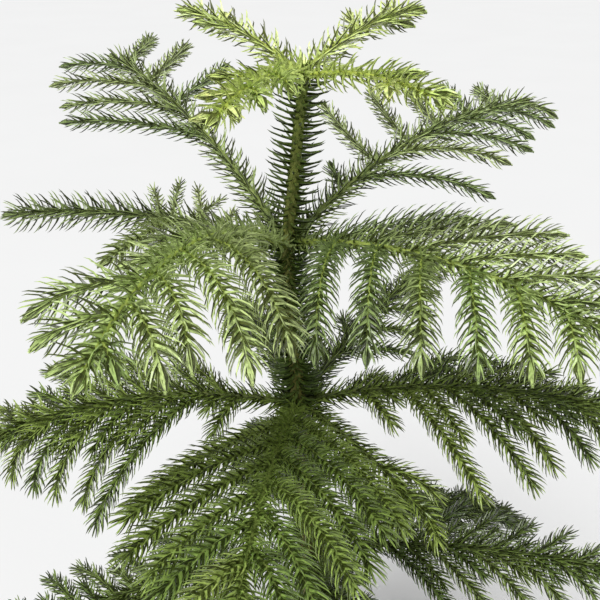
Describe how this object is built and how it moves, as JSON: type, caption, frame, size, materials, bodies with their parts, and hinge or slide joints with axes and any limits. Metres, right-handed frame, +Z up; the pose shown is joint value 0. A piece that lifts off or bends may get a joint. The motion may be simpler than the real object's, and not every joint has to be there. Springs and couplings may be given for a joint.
{
  "type": "norfolk island pine",
  "caption": "Young Norfolk Island pine houseplant: one slim stem with tiers of level boughs clothed in fine green needles, growing in a plain clay pot.",
  "frame": {"origin": "centre of the pot's flat underside", "axes": "+Z up along the plant, -Y towards the side that the plant is seen from, +X to the right as seen from there"},
  "size_m": [0.3888, 0.3763, 0.6614],
  "materials": {
    "clay": "matte",
    "soil": "matte",
    "bark": "matte",
    "bough_bark": "matte",
    "needles_new": "satin",
    "needles_young": "satin",
    "needles_grown": "satin",
    "needles_old": "satin"
  },
  "bodies": {
    "root": {"bough_bottom_back": "bough_bark", "bough_bottom_back_left": "bough_bark", "bough_bottom_front_left": "bough_bark", "bough_bottom_front_right": "bough_bark", "bough_bottom_right": "bough_bark", "bough_lower_back": "bough_bark", "bough_lower_back_right": "bough_bark", "bough_lower_front": "bough_bark", "bough_lower_left": "bough_bark", "bough_lower_right": "bough_bark", "bough_middle_back_left": "bough_bark", "bough_middle_back_right": "bough_bark", "bough_middle_front": "bough_bark", "bough_middle_front_right": "bough_bark", "bough_middle_left": "bough_bark", "bough_middle_right": "bough_bark", "bough_top_back_left": "bough_bark", "bough_top_back_right": "bough_bark", "bough_top_front_left": "bough_bark", "bough_top_front_right": "bough_bark", "bough_upper_back_left": "bough_bark", "bough_upper_back_right": "bough_bark", "bough_upper_front_left": "bough_bark", "bough_upper_front_right": "bough_bark", "bough_upper_left": "bough_bark", "foliage_bottom_back": "needles_old", "foliage_bottom_back_left": "needles_old", "foliage_bottom_front_left": "needles_old", "foliage_bottom_front_right": "needles_old", "foliage_bottom_right": "needles_old", "foliage_lower_back": "needles_old", "foliage_lower_back_right": "needles_old", "foliage_lower_front": "needles_old", "foliage_lower_left": "needles_old", "foliage_lower_right": "needles_old", "foliage_middle_back_left": "needles_grown", "foliage_middle_back_right": "needles_grown", "foliage_middle_front": "needles_grown", "foliage_middle_front_right": "needles_grown", "foliage_middle_left": "needles_grown", "foliage_middle_right": "needles_grown", "foliage_top_back_left": "needles_new", "foliage_top_back_right": "needles_new", "foliage_top_front_left": "needles_new", "foliage_top_front_right": "needles_new", "foliage_upper_back_left": "needles_young", "foliage_upper_back_right": "needles_young", "foliage_upper_front_left": "needles_young", "foliage_upper_front_right": "needles_young", "foliage_upper_left": "needles_young", "leader_tuft": "needles_new", "needle_sleeve_middle": "needles_young", "needle_sleeve_upper": "needles_young", "pot": "clay", "soil": "soil", "trunk": "bark"}
  },
  "joints": []
}
